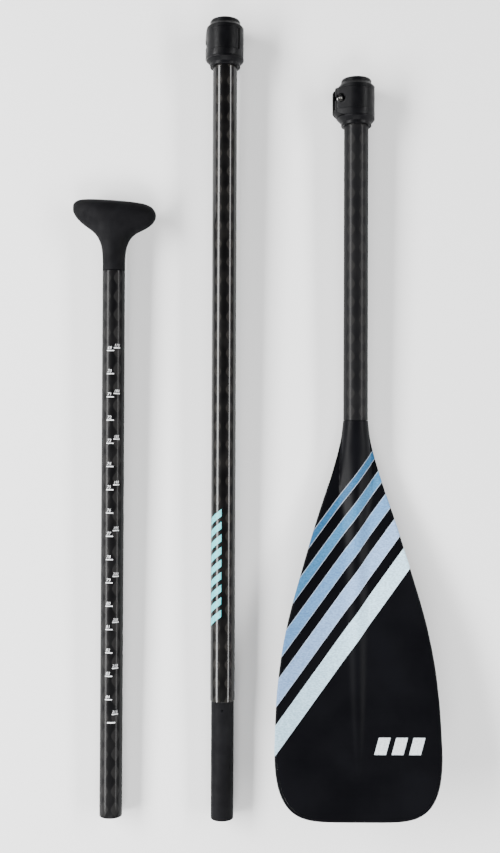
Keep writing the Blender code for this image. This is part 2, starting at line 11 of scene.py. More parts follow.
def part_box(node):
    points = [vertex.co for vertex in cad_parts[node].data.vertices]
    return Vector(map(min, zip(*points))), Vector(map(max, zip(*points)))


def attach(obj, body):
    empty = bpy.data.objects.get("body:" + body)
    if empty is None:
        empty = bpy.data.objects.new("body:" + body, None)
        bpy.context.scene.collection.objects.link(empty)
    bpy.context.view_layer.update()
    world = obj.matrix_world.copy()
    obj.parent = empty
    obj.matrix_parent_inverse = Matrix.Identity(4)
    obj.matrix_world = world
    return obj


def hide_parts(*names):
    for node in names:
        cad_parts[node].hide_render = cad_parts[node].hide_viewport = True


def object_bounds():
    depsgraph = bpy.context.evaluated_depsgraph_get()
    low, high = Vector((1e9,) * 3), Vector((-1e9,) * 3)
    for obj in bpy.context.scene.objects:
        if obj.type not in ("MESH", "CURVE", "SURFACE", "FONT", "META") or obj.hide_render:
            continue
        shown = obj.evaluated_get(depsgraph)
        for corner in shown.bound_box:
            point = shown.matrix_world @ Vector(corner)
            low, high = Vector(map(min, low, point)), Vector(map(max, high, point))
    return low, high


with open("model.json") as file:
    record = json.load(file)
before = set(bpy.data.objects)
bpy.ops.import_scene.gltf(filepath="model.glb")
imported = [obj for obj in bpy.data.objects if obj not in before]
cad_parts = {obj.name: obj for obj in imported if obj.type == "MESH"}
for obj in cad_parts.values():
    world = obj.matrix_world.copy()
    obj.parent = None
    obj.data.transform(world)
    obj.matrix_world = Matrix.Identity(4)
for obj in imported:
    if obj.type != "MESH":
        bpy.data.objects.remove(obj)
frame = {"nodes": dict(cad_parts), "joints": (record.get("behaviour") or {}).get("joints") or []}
cad_low, cad_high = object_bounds()

TAU = 2 * math.pi
ROUND = 96
TUBE_STEPS = 40
EDGE_STEPS = 4
MAIN_WALL = 0.00095
INNER_WALL = 0.0012
DECAL_LIFT = 0.00006
DECAL_HALF = 0.00003


# ---------------------------------------------------------------- places read from the frame

def joint(name):
    return next(j for j in frame["joints"] if j["name"] == name)


SHAFT = -Vector(joint("mid_insert")["axis"])
TILT = math.atan2(SHAFT.z, SHAFT.y)


def section_matrix(node, radius):
    """Frame of a section: its origin on the shaft axis at the lower end of that round node."""
    low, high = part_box(node)
    origin = Vector(((low.x + high.x) / 2, low.y + radius * math.sin(TILT), low.z + radius * math.cos(TILT)))
    return Matrix.Translation(origin) @ Matrix.Rotation(TILT, 4, "X")


def local_span(node, matrix):
    """Lowest and highest corner of a node in the given frame."""
    inverse = matrix.inverted()
    points = np.array([inverse @ v.co for v in frame["nodes"][node].data.vertices])
    return points.min(0), points.max(0)


def width_of(node):
    low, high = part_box(node)
    return high.x - low.x


INNER_RADIUS = width_of("handle_tube") / 2
MAIN_RADIUS = width_of("mid_tube") / 2
HANDLE = section_matrix("handle_tube", INNER_RADIUS)
MIDDLE = section_matrix("ferrule", INNER_RADIUS)
BLADE = section_matrix("blade_tube", MAIN_RADIUS)


# ---------------------------------------------------------------- mesh helpers

def finish_mesh(name, work, matrix, body, replaced=(), angle=35):
    """Make an object of a mesh drawn in a section's frame; its vertices are kept in the row frame."""
    bmesh.ops.transform(work, matrix=matrix, verts=work.verts)
    bmesh.ops.recalc_face_normals(work, faces=work.faces)
    mesh = bpy.data.meshes.new(name)
    work.to_mesh(mesh)
    work.free()
    mesh.shade_smooth()
    mesh.set_sharp_from_angle(angle=math.radians(angle))
    piece = bpy.data.objects.new(name, mesh)
    bpy.context.scene.collection.objects.link(piece)
    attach(piece, body)
    if replaced:
        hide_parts(*replaced)
    return piece


def skin_rings(work, rings, closed=False):
    """Join rings of points into one skin, capped at both ends or closed on itself."""
    made = [[work.verts.new(point) for point in ring] for ring in rings]
    pairs = list(zip(made, made[1:])) + ([(made[-1], made[0])] if closed else [])
    count = len(made[0])
    for low, high in pairs:
        for i in range(count):
            j = (i + 1) % count
            work.faces.new((low[i], low[j], high[j], high[i]))
    if not closed:
        work.faces.new(list(reversed(made[0])))
        work.faces.new(made[-1])


def ring(radius, y):
    angles = [TAU * i / ROUND for i in range(ROUND)]
    return [(radius * math.cos(angle), y, radius * math.sin(angle)) for angle in angles]


def rounded_tube(name, node, matrix, outer, wall, body, soft=0.0004):
    """A tube over the span of its CAD node, with its outer end edges rounded."""
    low, high = local_span(node, matrix)
    bottom, top = low[1], high[1]
    heights = [bottom + (top - bottom) * i / TUBE_STEPS for i in range(TUBE_STEPS + 1)]
    turns = [0.5 * math.pi * i / EDGE_STEPS for i in range(EDGE_STEPS + 1)]
    flat = outer - soft
    profile = [(outer - wall, y) for y in reversed(heights)]
    profile += [(flat + soft * math.sin(turn), bottom + soft - soft * math.cos(turn)) for turn in turns]
    profile += [(outer, y) for y in heights[1:-1]]
    profile += [(flat + soft * math.cos(turn), top - soft + soft * math.sin(turn)) for turn in turns]
    work = bmesh.new()
    skin_rings(work, [ring(radius, y) for radius, y in profile], closed=True)
    return finish_mesh(name, work, matrix, body, [node])


def smooth_value(points, at):
    """Catmull-Rom curve through (distance, value) points, held flat past the last."""
    if at >= points[-1][0]:
        return points[-1][1]
    i = max(k for k, point in enumerate(points) if point[0] <= at)
    x0, y0 = points[i]
    x1, y1 = points[i + 1]
    before = points[max(i - 1, 0)]
    after = points[min(i + 2, len(points) - 1)]
    slope0 = (y1 - before[1]) / (x1 - before[0])
    slope1 = (after[1] - y0) / (after[0] - x0)
    u = (at - x0) / (x1 - x0)
    return ((2 * u**3 - 3 * u**2 + 1) * y0 + (u**3 - 2 * u**2 + u) * (x1 - x0) * slope0
            + (3 * u**2 - 2 * u**3) * y1 + (u**3 - u**2) * (x1 - x0) * slope1)


# ---------------------------------------------------------------- materials

class Paint:
    """A node material being built: each call adds one node and returns its output."""

    def __init__(self, name, roughness=0.5, metallic=0.0, coat=0.0, coat_roughness=0.1, specular=0.5,
                 frame_of=Matrix()):
        self.material = bpy.data.materials.new(name)
        self.material.use_nodes = True
        self.tree = self.material.node_tree
        self.shader = self.tree.nodes["Principled BSDF"]
        self.shader.inputs["Roughness"].default_value = roughness
        self.shader.inputs["Metallic"].default_value = metallic
        self.shader.inputs["Coat Weight"].default_value = coat
        self.shader.inputs["Coat Roughness"].default_value = coat_roughness
        self.shader.inputs["Specular IOR Level"].default_value = specular
        into = self.tree.nodes.new("ShaderNodeMapping")
        into.inputs["Location"].default_value = frame_of.inverted().translation
        into.inputs["Rotation"].default_value = frame_of.inverted().to_euler()
        self.tree.links.new(self.tree.nodes.new("ShaderNodeTexCoord").outputs["Object"], into.inputs[0])
        split = self.tree.nodes.new("ShaderNodeSeparateXYZ")
        self.tree.links.new(into.outputs[0], split.inputs[0])
        self.place = into.outputs[0]
        self.x, self.y, self.z = split.outputs

    def set(self, socket, value):
        """Feed a socket with another node's output, a colour or a number."""
        if isinstance(value, bpy.types.NodeSocket):
            self.tree.links.new(value, socket)
        elif isinstance(value, tuple) and len(value) == 3 and len(socket.default_value) == 4:
            socket.default_value = (*value, 1.0)
        else:
            socket.default_value = value

    def math(self, operation, a, b=0.0, c=0.0):
        node = self.tree.nodes.new("ShaderNodeMath")
        node.operation = operation
        for socket, value in zip(node.inputs, (a, b, c)):
            self.set(socket, value)
        return node.outputs[0]

    def step(self, value, low, high, to_low=0.0, to_high=1.0):
        """Soft step from one level to another while the value goes from low to high."""
        node = self.tree.nodes.new("ShaderNodeMapRange")
        node.interpolation_type = "SMOOTHSTEP"
        for socket, number in zip(node.inputs, (value, low, high, to_low, to_high)):
            self.set(socket, number)
        return node.outputs[0]

    def mix(self, share, a, b):
        node = self.tree.nodes.new("ShaderNodeMix")
        node.data_type = "RGBA"
        self.set(node.inputs["Factor"], share)
        self.set(node.inputs[6], a)
        self.set(node.inputs[7], b)
        return node.outputs[2]

    def multiply(self, a, b):
        color = self.mix(1.0, a, b)
        color.node.blend_type = "MULTIPLY"
        return color

    def stretched(self, scale):
        """The place with each axis scaled, so that a pattern can be longer one way."""
        node = self.tree.nodes.new("ShaderNodeMapping")
        node.inputs["Scale"].default_value = scale
        self.tree.links.new(self.place, node.inputs[0])
        return node.outputs[0]

    def noise(self, scale, detail=4.0, stretch=(1, 1, 1)):
        node = self.tree.nodes.new("ShaderNodeTexNoise")
        node.inputs["Scale"].default_value = scale
        node.inputs["Detail"].default_value = detail
        self.tree.links.new(self.stretched(stretch), node.inputs["Vector"])
        return node.outputs[0]

    def cells(self, scale):
        node = self.tree.nodes.new("ShaderNodeTexVoronoi")
        node.inputs["Scale"].default_value = scale
        self.tree.links.new(self.place, node.inputs["Vector"])
        return node.outputs["Distance"]

    def bands(self, value, stops):
        """Plain bands of colour with hard edges, one from each stop on."""
        node = self.tree.nodes.new("ShaderNodeValToRGB")
        elements = node.color_ramp.elements
        node.color_ramp.interpolation = "CONSTANT"
        while len(elements) < len(stops):
            elements.new(0.5)
        for element, (place, color) in zip(elements, stops):
            element.position = place
            element.color = (*color, 1.0)
        self.set(node.inputs[0], value)
        return node.outputs[0]

    def color(self, value):
        self.set(self.shader.inputs["Base Color"], value)

    def roughness(self, value):
        self.set(self.shader.inputs["Roughness"], value)

    def bump(self, height, distance, strength=1.0):
        node = self.tree.nodes.new("ShaderNodeBump")
        node.inputs["Distance"].default_value = distance
        node.inputs["Strength"].default_value = strength
        self.set(node.inputs["Height"], height)
        self.tree.links.new(node.outputs[0], self.shader.inputs["Normal"])


TOW_TURNS = 3.0
TOW_PITCH = 0.040
THREADS_PER_TOW = 26.0


def carbon(name, frame_of, dark, light, roughness, coat=0.0, coat_roughness=0.06, lozenge=0.22):
    """Braided carbon round a tube: crossing tows, a lozenge where one lies over the other, fine threads."""
    paint = Paint(name, roughness, coat=coat, coat_roughness=coat_roughness, specular=0.07,
                  frame_of=frame_of)
    around = paint.math("ARCTAN2", paint.z, paint.x)
    along = paint.math("MULTIPLY", paint.y, TAU / TOW_PITCH)
    wound = paint.math("MULTIPLY", around, TOW_TURNS)
    right = paint.math("ADD", along, wound)
    left = paint.math("SUBTRACT", along, wound)
    cross = paint.math("MULTIPLY", paint.math("SINE", right), paint.math("SINE", left))
    over = paint.step(cross, lozenge, lozenge + 0.16)
    threads_right = paint.math("SINE", paint.math("MULTIPLY", right, THREADS_PER_TOW))
    threads_left = paint.math("SINE", paint.math("MULTIPLY", left, THREADS_PER_TOW))
    threads = paint.math("ADD", paint.math("MULTIPLY", threads_right, 0.5),
                         paint.math("MULTIPLY", threads_left, 0.5))
    cloud = paint.noise(60.0)
    tone = paint.math("ADD", paint.math("MULTIPLY", over, 0.75), paint.math("MULTIPLY", threads, 0.10))
    tone = paint.math("ADD", tone, paint.step(cloud, 0.35, 0.75, 0.0, 0.25))
    paint.color(paint.mix(tone, dark, light))
    paint.roughness(paint.math("ADD", paint.math("MULTIPLY", over, 0.10),
                               paint.step(cloud, 0.3, 0.7, roughness - 0.04, roughness + 0.04)))
    paint.bump(paint.math("ADD", paint.math("MULTIPLY", over, 0.6), paint.math("MULTIPLY", threads, 0.4)),
               0.00006, 0.5)
    return paint.material


def grained(name, dark, light, roughness, grain, depth, specular=0.5):
    """Moulded plastic or soft-touch rubber: fine cells, cloudy colour and slightly uneven gloss."""
    paint = Paint(name, roughness, specular=specular)
    cloud = paint.noise(55.0, 5.0)
    cells = paint.cells(grain)
    paint.color(paint.mix(paint.step(cloud, 0.3, 0.75), dark, light))
    paint.roughness(paint.step(paint.noise(140.0), 0.3, 0.7, roughness - 0.06, roughness + 0.07))
    paint.bump(paint.math("ADD", cells, paint.math("MULTIPLY", paint.noise(grain * 0.6), 0.6)), depth, 0.6)
    return paint.material


def metal(name, dark, light, roughness):
    """Turned steel: rings of fine scratches over a slightly clouded colour."""
    paint = Paint(name, roughness, metallic=1.0)
    scratches = paint.noise(900.0, 3.0, (1.0, 1.0, 0.08))
    paint.color(paint.mix(scratches, dark, light))
    paint.roughness(paint.step(scratches, 0.3, 0.7, roughness - 0.06, roughness + 0.10))
    paint.bump(scratches, 0.00002, 0.5)
    return paint.material


def foam(name, dark, light):
    paint = Paint(name, 0.9)
    cells = paint.cells(900.0)
    paint.color(paint.mix(paint.step(cells, 0.0, 0.8), dark, light))
    paint.roughness(paint.step(cells, 0.0, 0.8, 0.8, 0.95))
    paint.bump(cells, 0.0002, 0.7)
    return paint.material


def ink(name, dark, light):
    paint = Paint(name, 0.45)
    worn = paint.noise(700.0, 5.0)
    paint.color(paint.mix(paint.step(worn, 0.35, 0.6), dark, light))
    paint.roughness(paint.step(worn, 0.3, 0.7, 0.38, 0.55))
    paint.bump(worn, 0.00001, 0.4)
    return paint.material


WEAVE_TURN = 2600.0
WEAVE_DEPTH = 0.00003

# Stripes on the blade, in the blade's own frame: each edge is a line with the slope STRIPE_SLOPE.
STRIPE_SLOPE = 1.335
STRIPE_FIRST = -0.0577
STRIPE_WIDTH = 0.0130
STRIPE_GROWTH = 0.00445
STRIPE_GAP = 0.0180
STRIPE_BORDER = 0.0009
STRIPE_COLORS = [(0.028, 0.112, 0.235), (0.052, 0.180, 0.345), (0.118, 0.262, 0.490),
                 (0.245, 0.390, 0.640), (0.490, 0.720, 0.860)]
BLACK = (0.0, 0.0, 0.0)
WHITE = (1.0, 1.0, 1.0)


def stripe_stops(span, colors, borders):
    """Colour ramp stops down the blade: black, border, stripe, border, black, and so on."""
    stops = [(0.0, BLACK)]
    edge = 0.0
    for i, (color, border) in enumerate(zip(colors, borders)):
        width = STRIPE_WIDTH + STRIPE_GROWTH * i
        for at, value in ((edge, border), (edge + STRIPE_BORDER, color),
                          (edge + width - STRIPE_BORDER, border), (edge + width, BLACK)):
            stops.append(((at + STRIPE_GAP) / span, value))
        edge += width + STRIPE_GAP
    return stops


def black_cloth(name):
    """Start of both blade laminates: black woven cloth under a satin coat."""
    paint = Paint(name, 0.50, specular=0.06, frame_of=BLADE)
    cloud = paint.noise(14.0, 4.0)
    rising, falling = paint.math("ADD", paint.x, paint.y), paint.math("SUBTRACT", paint.x, paint.y)
    weave_rising = paint.math("SINE", paint.math("MULTIPLY", rising, WEAVE_TURN))
    weave_falling = paint.math("SINE", paint.math("MULTIPLY", falling, WEAVE_TURN))
    weave = paint.math("MULTIPLY", weave_rising, weave_falling)
    ground = paint.mix(paint.step(cloud, 0.3, 0.75), (0.0012, 0.0012, 0.0018), (0.0022, 0.0023, 0.0033))
    ground = paint.mix(paint.math("MULTIPLY", paint.step(weave, -0.2, 0.6), 0.30), ground,
                       (0.0046, 0.0048, 0.0062))
    return paint, weave, ground, paint.step(cloud, 0.3, 0.7, 0.38, 0.48)


def plain_laminate():
    paint, weave, ground, gloss = black_cloth("plain_laminate")
    paint.color(ground)
    paint.roughness(gloss)
    paint.bump(weave, WEAVE_DEPTH, 0.5)
    return paint.material


def striped_laminate():
    """The cloth with pale metallic stripes, edged with a paler line, with painted shade that darkens the
    stripes towards the left.
    """
    paint, weave, ground, gloss = black_cloth("striped_laminate")
    fleck = paint.noise(800.0, 5.0, (0.5, 1.0, 1.0))
    down = paint.math("SUBTRACT", paint.math("MULTIPLY", paint.x, STRIPE_SLOPE), paint.y)
    count = len(STRIPE_COLORS)
    span = count * (STRIPE_WIDTH + 2 * STRIPE_GROWTH + STRIPE_GAP) + STRIPE_GAP
    share = paint.math("DIVIDE", paint.math("ADD", down, STRIPE_FIRST + STRIPE_GAP), span)
    borders = [tuple(0.5 * value + 0.38 for value in color) for color in STRIPE_COLORS]
    colors = paint.bands(share, stripe_stops(span, STRIPE_COLORS, borders))
    mask = paint.bands(share, stripe_stops(span, [WHITE] * count, [WHITE] * count))
    grain = paint.mix(paint.step(fleck, 0.32, 0.68), (0.74, 0.74, 0.76), (1.12, 1.12, 1.10))
    # Painted shade: the stripes' colour is scaled down to 0.70 towards the left of the blade and up to 1.06
    # on the right.
    shade = paint.mix(paint.step(paint.x, -0.080, 0.035), (0.70, 0.72, 0.74), (1.06, 1.06, 1.06))
    colors = paint.multiply(paint.multiply(colors, grain), shade)
    paint.color(paint.mix(mask, ground, colors))
    paint.roughness(paint.mix(mask, gloss, paint.step(fleck, 0.3, 0.7, 0.34, 0.50)))
    paint.bump(paint.math("ADD", paint.math("MULTIPLY", weave, 0.5), fleck), WEAVE_DEPTH, 0.5)
    return paint.material


GLOSS_CARBON = carbon("gloss_carbon", MIDDLE, (0.0010, 0.0010, 0.0012), (0.0170, 0.0155, 0.0140), 0.42,
                      coat=0.45, coat_roughness=0.05)
HANDLE_CARBON = carbon("satin_carbon_handle", HANDLE, (0.0014, 0.0014, 0.0018), (0.0135, 0.0130, 0.0130),
                       0.48, coat=0.12, coat_roughness=0.16, lozenge=0.05)
BLADE_CARBON = carbon("satin_carbon_blade", BLADE, (0.0040, 0.0040, 0.0046), (0.0135, 0.0130, 0.0130), 0.50,
                      coat=0.08, coat_roughness=0.22, lozenge=0.15)
MATTE_CARBON = grained("ferrule_carbon", (0.0030, 0.0030, 0.0037), (0.0056, 0.0056, 0.0066), 0.62, 700.0,
                       0.00004, specular=0.06)
GRIP_RUBBER = grained("grip_rubber", (0.0020, 0.0020, 0.0026), (0.0042, 0.0042, 0.0050), 0.66, 1300.0,
                      0.00012, specular=0.07)
CLAMP_PLASTIC = grained("clamp_plastic", (0.0014, 0.0014, 0.0018), (0.0032, 0.0032, 0.0040), 0.42, 1600.0,
                        0.00003, specular=0.10)
BUSH_PLASTIC = grained("bush_plastic", (0.008, 0.008, 0.009), (0.016, 0.016, 0.017), 0.45, 1200.0,
                       0.00003, specular=0.2)
PLUG_FOAM = foam("plug_foam", (0.004, 0.004, 0.0045), (0.012, 0.012, 0.013))
WHITE_FOAM = foam("white_foam", (0.42, 0.42, 0.40), (0.66, 0.66, 0.62))
CORE_FOAM = foam("core_foam", (0.55, 0.52, 0.42), (0.80, 0.77, 0.66))
BRIGHT_STEEL = metal("bright_steel", (0.62, 0.61, 0.58), (0.90, 0.89, 0.86), 0.24)
DARK_STEEL = metal("dark_steel", (0.025, 0.025, 0.028), (0.075, 0.075, 0.080), 0.34)
STRIPED_LAMINATE = striped_laminate()
PLAIN_LAMINATE = plain_laminate()
WHITE_INK = ink("white_ink", (0.55, 0.56, 0.58), (0.86, 0.87, 0.88))
CYAN_INK = ink("cyan_ink", (0.050, 0.420, 0.470), (0.090, 0.560, 0.600))
GREY_INK = ink("grey_ink", (0.48, 0.53, 0.56), (0.66, 0.71, 0.74))


def dress(piece, material):
    """Give a fine mesh its one material."""
    piece.data.materials.clear()
    piece.data.materials.append(material)
    return piece


# ---------------------------------------------------------------- handle section

GRIP_STATIONS = [
    # share of the height, left reach, right reach, half depth, share of the top edge's slope
    (0.000, 0.0124, 0.0124, 0.0124, 0.0), (0.128, 0.0124, 0.0125, 0.0125, 0.0),
    (0.256, 0.0130, 0.0130, 0.0127, 0.0), (0.372, 0.0145, 0.0150, 0.0132, 0.0),
    (0.474, 0.0180, 0.0190, 0.0142, 0.1), (0.551, 0.0230, 0.0255, 0.0155, 0.2),
    (0.615, 0.0300, 0.0345, 0.0168, 0.3), (0.679, 0.0370, 0.0410, 0.0180, 0.45),
    (0.756, 0.0430, 0.0450, 0.0192, 0.6), (0.833, 0.0462, 0.0462, 0.0195, 0.8),
    (0.897, 0.0462, 0.0448, 0.0180, 0.9), (0.955, 0.0430, 0.0410, 0.0148, 1.0),
    (0.987, 0.0370, 0.0345, 0.0100, 1.0), (1.000, 0.0290, 0.0270, 0.0050, 1.0),
]
GRIP_HEIGHT = 0.0780
GRIP_STEPS = 72
GRIP_STEP_BIAS = 1.35
GRIP_REACH = 0.0461
GRIP_SLOPE = math.tan(math.radians(4.0))
GRIP_DROP = 0.0020
GRIP_DROP_SPREAD = 0.0895 / 3
GRIP_LIP = 0.0006
SPIGOT_RADIUS = 0.0109
SEAM = 0.0003


def grip_outline(base, at, curves):
    """Outline of the grip at a share of its height; its wide part hangs a little lower than the tube."""
    left, right, depth, lean = (smooth_value(points, at) for points in curves)
    outline = []
    for k in range(ROUND):
        angle = TAU * k / ROUND
        reach = min(right if math.cos(angle) > 0 else left, GRIP_REACH)
        x = reach * math.cos(angle)
        drop = GRIP_DROP * min(1.0, (reach - INNER_RADIUS) / GRIP_DROP_SPREAD)
        outline.append((x, base + GRIP_HEIGHT * at - GRIP_SLOPE * lean * x, depth * math.sin(angle) - drop))
    return outline


def palm_grip():
    """T grip with a softly crowned palm bar, its neck and the spigot inside the tube."""
    spigot_end = local_span("palm_grip", HANDLE)[0][1]
    base = local_span("handle_tube", HANDLE)[1][1] + SEAM
    curves = [[(station[0], station[k]) for station in GRIP_STATIONS] for k in range(1, 5)]
    places = [1 - (1 - i / GRIP_STEPS)**GRIP_STEP_BIAS for i in range(GRIP_STEPS + 1)]
    outlines = [grip_outline(base, at, curves) for at in places]
    inward = 1 - GRIP_LIP / INNER_RADIUS
    lip = [(x * inward, y, z * inward) for x, y, z in outlines[0]]
    outlines[0] = [(x, y + 0.6 * GRIP_LIP, z) for x, y, z in outlines[0]]
    work = bmesh.new()
    skin_rings(work, [ring(SPIGOT_RADIUS, spigot_end), ring(SPIGOT_RADIUS, base), lip] + outlines)
    piece = finish_mesh("palm_grip_moulding", work, HANDLE, "handle_section", ["palm_grip"], angle=50)
    return dress(piece, GRIP_RUBBER)


def wrapped(work, points_faces, radius, x_start, y_start):
    """Lay a flat print on a tube: x runs round the surface, y along it, z off it."""
    points, faces = points_faces
    made = []
    for x, y, z in points:
        angle = math.pi / 2 - (x_start + x) / radius
        r = radius + DECAL_LIFT + z
        made.append(work.verts.new((r * math.cos(angle), y_start + y, r * math.sin(angle))))
    for face in faces:
        work.faces.new([made[i] for i in face])


def flat_bar(width, height, slant=0.0, columns=8):
    """A thin closed bar as points and faces, split along its width so that it bends round a tube."""
    points, faces = [], []
    for i in range(columns + 1):
        x = width * i / columns
        for y, z in ((0, -DECAL_HALF), (height, -DECAL_HALF), (height, DECAL_HALF), (0, DECAL_HALF)):
            points.append((x + slant * y, y, z))
    for i in range(columns):
        a = 4 * i
        for k in range(4):
            j = (k + 1) % 4
            faces.append((a + k, a + j, a + 4 + j, a + 4 + k))
    faces.append((0, 3, 2, 1))
    last = 4 * columns
    faces.append((last, last + 1, last + 2, last + 3))
    return points, faces


def number_shape(text, size):
    """A number as a thin closed mesh, from Blender's own plain font."""
    curve = bpy.data.curves.new("number", "FONT")
    curve.body = text
    curve.size = size
    curve.extrude = DECAL_HALF
    curve.shear = 0.25
    curve.resolution_u = 2
    writer = bpy.data.objects.new("number", curve)
    bpy.context.scene.collection.objects.link(writer)
    bpy.context.view_layer.update()
    mesh = writer.to_mesh()
    work = bmesh.new()
    work.from_mesh(mesh)
    bmesh.ops.remove_doubles(work, verts=work.verts, dist=1e-7)
    work.verts.index_update()
    shape = ([tuple(v.co) for v in work.verts], [[v.index for v in f.verts] for f in work.faces])
    work.free()
    writer.to_mesh_clear()
    bpy.data.objects.remove(writer)
    bpy.data.curves.remove(curve)
    return shape


MARK_THICK = 0.0011
NUMBER_GAP = 0.0009
CM_COLUMN = {"first": 0.1127, "step": 0.05, "count": 9, "top": 215, "fall": 5,
             "mark": (0.0021, 0.0072), "number": (0.0024, 0.0040)}
INCH_COLUMN = {"first": 0.1287, "step": 0.0254, "count": 16, "top": 84, "fall": 1,
               "mark": (-0.0056, 0.0080), "number": (-0.0052, 0.0048)}
STOP_X, STOP_Y, STOP_WIDTH, STOP_HEIGHT = -0.0030, 0.1035, 0.0090, 0.0014


def scale_column(work, first, step, count, top, fall, mark, number):
    """Marks up the tube, a number above each; mark is (left edge, width), number (left edge, size)."""
    bar = flat_bar(mark[1], MARK_THICK)
    for i in range(count):
        y = first + step * i
        wrapped(work, bar, INNER_RADIUS, mark[0], y)
        shape = number_shape(str(top - fall * i), number[1])
        wrapped(work, shape, INNER_RADIUS, number[0], y + MARK_THICK + NUMBER_GAP)


def length_scale():
    """Printed scale: a mark each 5 cm on the right, each inch on the left, and a plain line as the stop."""
    work = bmesh.new()
    scale_column(work, **CM_COLUMN)
    scale_column(work, **INCH_COLUMN)
    wrapped(work, flat_bar(STOP_WIDTH, STOP_HEIGHT), INNER_RADIUS, STOP_X, STOP_Y)
    piece = finish_mesh("length_scale_print", work, HANDLE, "handle_section")
    return dress(piece, WHITE_INK)


def handle_section():
    palm_grip()
    tube = rounded_tube("handle_tube_laminate", "handle_tube", HANDLE, INNER_RADIUS, INNER_WALL,
                        "handle_section")
    dress(tube, HANDLE_CARBON)
    length_scale()
    dress_node("handle_end_plug", PLUG_FOAM)


def dress_node(node, material):
    """Give a CAD node that keeps its shape a procedural material."""
    mesh = frame["nodes"][node].data
    mesh.materials.clear()
    mesh.materials.append(material)


# ---------------------------------------------------------------- middle section

BAR_FIRST, BAR_PITCH, BAR_COUNT = 0.2110, 0.0137, 9
BAR_WIDTH, BAR_HEIGHT, BAR_SLOPE, BAR_START = 0.0150, 0.0078, 0.75, -0.0165


def slanted_bars():
    """Neutral cyan bars on the left of the shaft, in place of a printed word."""
    work = bmesh.new()
    points, faces = flat_bar(BAR_WIDTH, BAR_HEIGHT, columns=12)
    points = [(x, y + BAR_SLOPE * x, z) for x, y, z in points]
    for i in range(BAR_COUNT):
        wrapped(work, (points, faces), MAIN_RADIUS, BAR_START, BAR_FIRST + BAR_PITCH * i)
    piece = finish_mesh("shaft_bars_print", work, MIDDLE, "middle_section")
    return dress(piece, CYAN_INK)


VENT_RADIUS = 0.0010
VENT_FROM_SHOULDER = 0.0090
BIT_LENGTH = 0.006


def drill_vent(piece, y):
    """Drill the vent through the top wall of the ferrule, and keep only the drilled mesh."""
    spot = MIDDLE @ Vector((0.0, y, INNER_RADIUS))
    bpy.ops.mesh.primitive_cylinder_add(vertices=32, radius=VENT_RADIUS, depth=BIT_LENGTH, location=spot)
    bit = bpy.context.object
    cut = piece.modifiers.new("hole", "BOOLEAN")
    cut.object = bit
    cut.solver = "EXACT"
    state = bpy.context.evaluated_depsgraph_get()
    drilled = bpy.data.meshes.new_from_object(piece.evaluated_get(state))
    piece.modifiers.remove(cut)
    piece.data = drilled
    bpy.data.objects.remove(bit)


def ferrule():
    """Stepped-down end of the middle section, with its small vent hole near the shoulder."""
    piece = rounded_tube("ferrule_laminate", "ferrule", MIDDLE, INNER_RADIUS, INNER_WALL,
                         "middle_section", soft=0.0006)
    shoulder = local_span("mid_tube", MIDDLE)[0][1]
    drill_vent(piece, shoulder - VENT_FROM_SHOULDER)
    return dress(piece, MATTE_CARBON)


def middle_section():
    tube = rounded_tube("mid_tube_laminate", "mid_tube", MIDDLE, MAIN_RADIUS, MAIN_WALL,
                        "middle_section")
    dress(tube, GLOSS_CARBON)
    ferrule()
    slanted_bars()
    dress_node("ferrule_end_plug", PLUG_FOAM)


# ---------------------------------------------------------------- clamps

COLLAR_BEVEL = 0.00035
LEVER_BEVEL = 0.00030
SMALL_BEVEL = 0.00015


def bevelled_copy(name, node, body, width, material):
    """A CAD part with its flat facets joined up and every hard edge rounded."""
    work = bmesh.new()
    work.from_mesh(frame["nodes"][node].data)
    bmesh.ops.remove_doubles(work, verts=work.verts, dist=0.00001)
    bmesh.ops.dissolve_limit(work, angle_limit=math.radians(1.0), verts=work.verts, edges=work.edges)
    piece = finish_mesh(name, work, Matrix(), body, [node], angle=28)
    bevel = piece.modifiers.new("rounded edges", "BEVEL")
    bevel.width = width
    bevel.segments = 3
    bevel.limit_method = "ANGLE"
    bevel.angle_limit = math.radians(32)
    bevel.use_clamp_overlap = True
    bevel.harden_normals = True
    return dress(piece, material)


def clamp(prefix, body, lever_body, bolt_body):
    """One lever clamp: its collar and bush stay on the tube's body, the lever and the bolt turn."""
    bevelled_copy(prefix + "_collar_moulding", prefix + "_collar", body, COLLAR_BEVEL,
                  CLAMP_PLASTIC)
    bevelled_copy(prefix + "_lever_moulding", prefix + "_lever", lever_body, LEVER_BEVEL,
                  CLAMP_PLASTIC)
    bevelled_copy(prefix + "_split_bush", prefix + "_bush", body, SMALL_BEVEL,
                  BUSH_PLASTIC)
    bevelled_copy(prefix + "_bolt", prefix + "_tension_bolt", bolt_body, SMALL_BEVEL,
                  BRIGHT_STEEL)
    dress_node(prefix + "_barrel_pin", DARK_STEEL)
    dress_node(prefix + "_lock_nut", BRIGHT_STEEL)


# ---------------------------------------------------------------- blade section

BLADE_LENGTH = 0.4250
BLADE_HALF_WIDTH = 0.0895
WIDEST_AT = 0.3500
TIP_ALONG, TIP_ACROSS = 2.6, 5.0
RAKE_SLOPE = math.tan(math.radians(8.0))
RAKE_START, RAKE_FULL = 0.030, 0.110
EDGE_HALF = 0.0022
SKIN = 0.0009
RAIL_WIDTH = 0.0030
RAIL_START = 0.0700
NECK_ROUND, NECK_BLEND = 0.032, 0.070
NECK_ROWS, SIDE_ROWS, TIP_ROWS, HALF_COLUMNS = 24, 56, 30, 36
RIM_GAP = 0.00015
LAYER_GAP = 0.0003
SHOULDERS = [(0.000, 0.0138), (0.024, 0.0169), (0.059, 0.0263), (0.112, 0.0438), (0.164, 0.0595),
             (0.214, 0.0736), (0.255, 0.0820), (0.300, 0.0873), (WIDEST_AT, BLADE_HALF_WIDTH)]
FRONT_HEIGHTS = [(0.0, 0.0138), (0.04, 0.0132), (0.08, 0.0108), (0.13, 0.0075), (0.20, 0.0055),
                 (0.30, 0.0042), (0.385, EDGE_HALF)]
